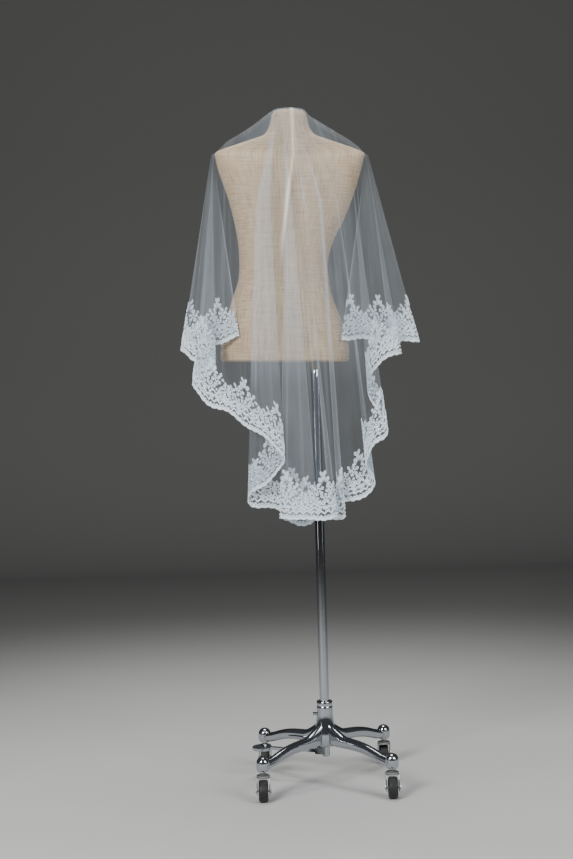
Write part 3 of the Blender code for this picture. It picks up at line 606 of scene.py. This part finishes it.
def on_veil(s, w, relief):
    """Points of the lace: s along the hem, w up the fall of the cloth and relief out of it, all in millimetres."""
    base, up, out = (np.stack([np.interp(s, LACE_TRAVEL, v[:, i]) for i in range(3)], axis=-1)
                     for v in (LACE_HEM, LACE_UP, LACE_OUT))
    return base + up * w[..., None] + out * relief[..., None]


def lace_repeats(table):
    """Table rows set out once in each repeat: the first column becomes the place along the hem."""
    table = np.array(table, float)
    starts = np.arange(LACE_PHASE + LACE_REPEAT / 2 - LACE_REPEAT, LACE_TRAVEL[-1] + LACE_REPEAT, LACE_REPEAT)
    rows = np.repeat(table[None], len(starts), axis=0)
    rows[:, :, 0] += starts[:, None]
    rows = rows.reshape(-1, table.shape[1])
    return rows[(rows[:, 0] > 3.0) & (rows[:, 0] < LACE_TRAVEL[-1] - 3.0)]


def lace_petals():
    """Grids of petals and leaves: their width goes as sin(pi a^1.3)^0.8 along the length.

    Each has a corded rim and mid rib, and its threads lie tight there and apart between them. Flowers come first in
    the rows, then leaves: foot, direction, length and width.
    """
    rng = np.random.default_rng(7)
    feet = []
    for s, w, radius, count, turn in lace_repeats(LACE_FLOWERS):
        angle = math.radians(turn) + math.tau * np.arange(int(count)) / count
        start = FLOWER_RING * radius
        length, width = np.full(angle.shape, 0.76 * radius), np.full(angle.shape, 3.5 * radius / count)
        feet.append(np.stack([s + start * np.cos(angle), w + start * np.sin(angle), np.degrees(angle), length, width],
                             axis=1))
    feet = np.concatenate([*feet, lace_repeats(LACE_LEAVES)])
    feet[:, 2] += rng.normal(0.0, 5.0, len(feet))
    feet[:, 3:] *= rng.normal(1.0, 0.05, (len(feet), 2))
    s, w, turn, length, width = (feet[:, i, None, None] for i in range(5))
    a = np.array([0.0, 0.08, 0.22, 0.42, 0.62, 0.8, 0.93, 1.0])[None, :, None]
    b = np.array([1.0, 0.84, 0.45, 0.0, -0.45, -0.84, -1.0])[None, None, :]
    half = 0.5 * width * np.sin(math.pi * np.clip(a, 0.004, 0.996) ** 1.3) ** 0.8
    along, across = a * length, b * half
    c, d = np.cos(np.radians(turn)), np.sin(np.radians(turn))
    rim = np.interp(np.abs(b), [0.0, 0.2, 0.45, 0.84, 1.0], [0.6, 0.5, 0.2, 1.0, 0.0])
    relief = LACE_TOP + PETAL_RELIEF * rim * np.clip(np.sin(math.pi * a) * 3.0, 0.25, 1.0)
    s_grid, w_grid = s + along * c - across * d, w + along * d + across * c
    filled = np.maximum(np.interp(np.abs(b), [0.0, 0.25, 0.45, 0.84, 1.0], [0.9, 0.6, 0.4, 1.0, 1.0]), a > 0.9)
    return s_grid, w_grid, relief * np.ones_like(s_grid), filled * np.ones_like(s_grid)


def cord_grid(s, w, radius):
    """Half-round cord over a line on the cloth: five points across, raised as sin of their angle."""
    way_s, way_w = np.gradient(s, axis=-1), np.gradient(w, axis=-1)
    size = np.maximum(np.hypot(way_s, way_w), 1e-9)
    turn = np.linspace(0.0, math.pi, 5)
    across, high = radius * np.cos(turn), radius * np.sin(turn)
    s_grid = s[..., None] - (way_w / size)[..., None] * across
    w_grid = w[..., None] + (way_s / size)[..., None] * across
    return s_grid, w_grid, LACE_TOP * 0.5 + CORD_RELIEF * high * np.ones_like(s_grid)


# Corded cotton lace: matt white thread with a satin stitch look. Real threads are 0.4 mm; they are drawn 1 mm wide
# so that the stitches show, and the white varies a little from motif to motif. Inside a petal the threads lie
# apart and the dark behind shows through them; on the cords they lie tight.
lace_thread = finish_of("corded cotton lace", "E6F3FC", roughness=0.8, sheen_weight=0.25)
place = add(lace_thread, "ShaderNodeUVMap", uv_map="flat").outputs["UV"]
stitch = add(lace_thread, "ShaderNodeTexWave", {"Vector": place, "Scale": 160.0, "Distortion": 3.0, "Detail": 2.0},
             bands_direction="DIAGONAL")
blotch = add(lace_thread, "ShaderNodeTexNoise", {"Vector": place, "Scale": 60.0, "Detail": 2.0})
add(lace_thread, "ShaderNodeBump", {"Height": stitch.outputs["Fac"], "Strength": 0.5, "Distance": 0.0004},
    to="Normal")
tight = add(lace_thread, "ShaderNodeAttribute", attribute_name="thread_fill")
add(lace_thread, "ShaderNodeMapRange", {"Value": tight.outputs["Fac"], "To Min": 0.35}, to="Alpha")
add(lace_thread, "ShaderNodeMix", {"Factor": blotch.outputs["Fac"], "A": linear("DFEEF8"), "B": linear("F2FAFF")},
    to="Base Color", data_type="RGBA")


def lace_piece(name, s_grid, w_grid, relief, filled=None):
    """One kind of lace work over the whole edging; filled is how tightly its threads lie, from 0 to 1."""
    flat = np.stack([s_grid, w_grid], axis=-1) * 0.001
    item = surface(name, on_veil(s_grid, w_grid, relief), lace_thread, "mast", uv=flat, merge=False)
    tight = item.data.attributes.new("thread_fill", "FLOAT", "POINT")
    tight.data.foreach_set("value", np.ones(s_grid.size) if filled is None else filled.ravel())
    return item


petals = lace_piece("lace_petals", *lace_petals())
line = np.arange(0.0, LACE_TRAVEL[-1], 1.5)
wave = math.tau * 6.0 * (line - LACE_PHASE) / LACE_REPEAT
low = -2.5 * np.abs(np.sin(wave / 2.0)) - 9.0 * (0.5 - 0.5 * np.cos(wave / 6.0))
drift = [0.7 * np.sin(line / 29.0 + k) + 0.5 * np.sin(line / 17.0 + 2.3 * k) for k in range(4)]
cords = np.stack([
    33.0 + 4.0 * np.sin(wave + drift[0]),
    0.4 * low + 21.5 + 6.5 * np.abs(np.sin(wave / 2.0 + drift[1])),
    0.8 * low + 14.0 + 6.0 * np.abs(np.sin(wave / 2.0 + 0.9 + drift[2])),
    low + 9.0 + 2.2 * np.sin(2.0 * wave + drift[3]),
    low + 1.4,
])
cord_radii = np.array([2.2, 2.4, 2.3, 1.9, 2.2])[:, None, None]
waves = lace_piece("lace_wavy_cords", *cord_grid(line * np.ones_like(cords), cords, cord_radii))
share = np.array([0.0, 0.35, 0.7, 1.0])[:, None]
border = lace_piece("lace_scalloped_border", np.ones_like(share) * line, low + 7.0 * share,
                    LACE_TOP + np.array([0.1, 0.5, 0.3, 0.1])[:, None] * np.ones_like(low))
turn = np.linspace(0.0, math.tau, 15)[None, :]
rings = lace_repeats(LACE_FLOWERS)[:, :3]
ring_s = rings[:, :1] + FLOWER_RING * rings[:, 2:] * np.cos(turn)
ring_w = rings[:, 1:2] + FLOWER_RING * rings[:, 2:] * np.sin(turn)
centres = lace_piece("lace_flower_rings", *cord_grid(ring_s, ring_w, 1.5))
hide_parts(*[f"lace_{s}" for s in ("left", "left_back", "centre", "right_back", "right")])


# Studio: a pale floor that sweeps up into grey backdrop paper behind. Round the stand the floor keeps its pale
# colour. Farther out a painted light falloff darkens it to the backdrop grey, like a pool of light round the stand.
# The sheet is one profile of depth and height carried from side to side. Soft boxes light it from both sides.
FLOOR_PALE, BACKDROP_GREY_AND_PAINTED_FALLOFF = "CACAC8", "80807E"
sweep_paper = finish_of("painted sweep", FLOOR_PALE, roughness=0.85)
place = add(sweep_paper, "ShaderNodeTexCoord").outputs["Object"]
level = add(sweep_paper, "ShaderNodeMapping", {"Vector": place, "Scale": (1.0, 1.0, 0.0)})
distance = add(sweep_paper, "ShaderNodeVectorMath", {0: level.outputs[0]}, operation="LENGTH")
# Painted light falloff: from 1 m to 3.4 m from the stand the floor colour is mixed to the grey, painted shade that
# stands in for a pool of light.
painted_falloff = add(sweep_paper, "ShaderNodeMapRange", {"Value": distance.outputs["Value"], "From Min": 1.0,
                                                  "From Max": 3.4}, interpolation_type="SMOOTHSTEP")
cloud = add(sweep_paper, "ShaderNodeTexNoise", {"Vector": place, "Scale": 1.5, "Detail": 3.0})
floor_tone = add(sweep_paper, "ShaderNodeMix", {"Factor": cloud.outputs["Fac"], "A": linear("C4C4C2"),
                                                "B": linear("D0D0CE")}, data_type="RGBA")
add(sweep_paper, "ShaderNodeMix", {"Factor": painted_falloff.outputs[0], "A": floor_tone.outputs["Result"],
                                   "B": linear(BACKDROP_GREY_AND_PAINTED_FALLOFF)}, to="Base Color", data_type="RGBA")
SWEEP_START, SWEEP_RADIUS, SWEEP_REACH, SWEEP_TOP = 4.6, 1.2, 14.0, 7.0
bend = np.linspace(0.0, math.pi / 2, 40)
curve = np.stack([SWEEP_START + SWEEP_RADIUS * np.sin(bend), SWEEP_RADIUS * (1.0 - np.cos(bend))], axis=1)
profile = np.vstack([[-SWEEP_REACH, 0.0], curve, [SWEEP_START + SWEEP_RADIUS, SWEEP_TOP]])
mesh = bpy.data.meshes.new("sweep")
mesh.from_pydata([(x, y, z) for y, z in profile for x in (-SWEEP_REACH, SWEEP_REACH)], [],
                 [(2 * i, 2 * i + 1, 2 * i + 3, 2 * i + 2) for i in range(len(profile) - 1)])
mesh.materials.append(sweep_paper)
mesh.shade_smooth()
sweep = bpy.data.objects.new("sweep", mesh)
bpy.context.scene.collection.objects.link(sweep)


def soft_box(name, position, aim, width, height, power):
    """Oblong area lamp at a position, turned to face a point."""
    lamp = bpy.data.lights.new(name, "AREA")
    lamp.shape = "RECTANGLE"
    lamp.energy, lamp.size, lamp.size_y = power, width, height
    item = bpy.data.objects.new(name, lamp)
    item.location = position
    way = np.array(aim) - np.array(position)
    item.rotation_euler = (math.atan2(math.hypot(way[0], way[1]), -way[2]), 0.0, math.atan2(-way[0], way[1]))
    bpy.context.scene.collection.objects.link(item)


soft_box("key", (-1.9, -3.0, 2.5), (0.0, 0.0, 1.1), 1.2, 1.2, 138.0)
soft_box("fill", (2.3, -2.4, 2.2), (0.0, 0.0, 1.0), 1.8, 1.8, 70.0)
soft_box("top", (0.0, 0.4, 3.4), (0.0, 0.0, 1.0), 1.3, 1.3, 44.0)
soft_box("left_strip", (-2.3, -1.9, 0.95), (0.0, 0.0, 0.5), 0.14, 1.3, 4.0)
soft_box("right_strip", (2.5, -1.2, 0.95), (0.0, 0.0, 0.5), 0.10, 1.3, 1.5)
world = bpy.data.worlds.new("studio")
world.use_nodes = True
world.node_tree.nodes["Background"].inputs["Color"].default_value = linear("C9CCD2")
world.node_tree.nodes["Background"].inputs["Strength"].default_value = 0.12
bpy.context.scene.world = world

# The camera stands 4 m away at 1.05 m, looks 1.54 degrees below level and leans 1.6 degrees.
camera = bpy.data.objects.new("camera", bpy.data.cameras.new("camera"))
camera.data.lens = 63.24
camera.location = (-0.0808 + POLE_PLACE[0] * 0.001, -4.0, 1.05)
pitch, roll = math.radians(90.0 - 1.54), math.radians(-1.6)
camera.rotation_mode = "QUATERNION"
turn = np.array([math.cos(pitch / 2) * math.cos(roll / 2), math.sin(pitch / 2) * math.cos(roll / 2),
                 -math.sin(pitch / 2) * math.sin(roll / 2), math.cos(pitch / 2) * math.sin(roll / 2)])
camera.rotation_quaternion = turn
bpy.context.scene.collection.objects.link(camera)
bpy.context.scene.camera = camera
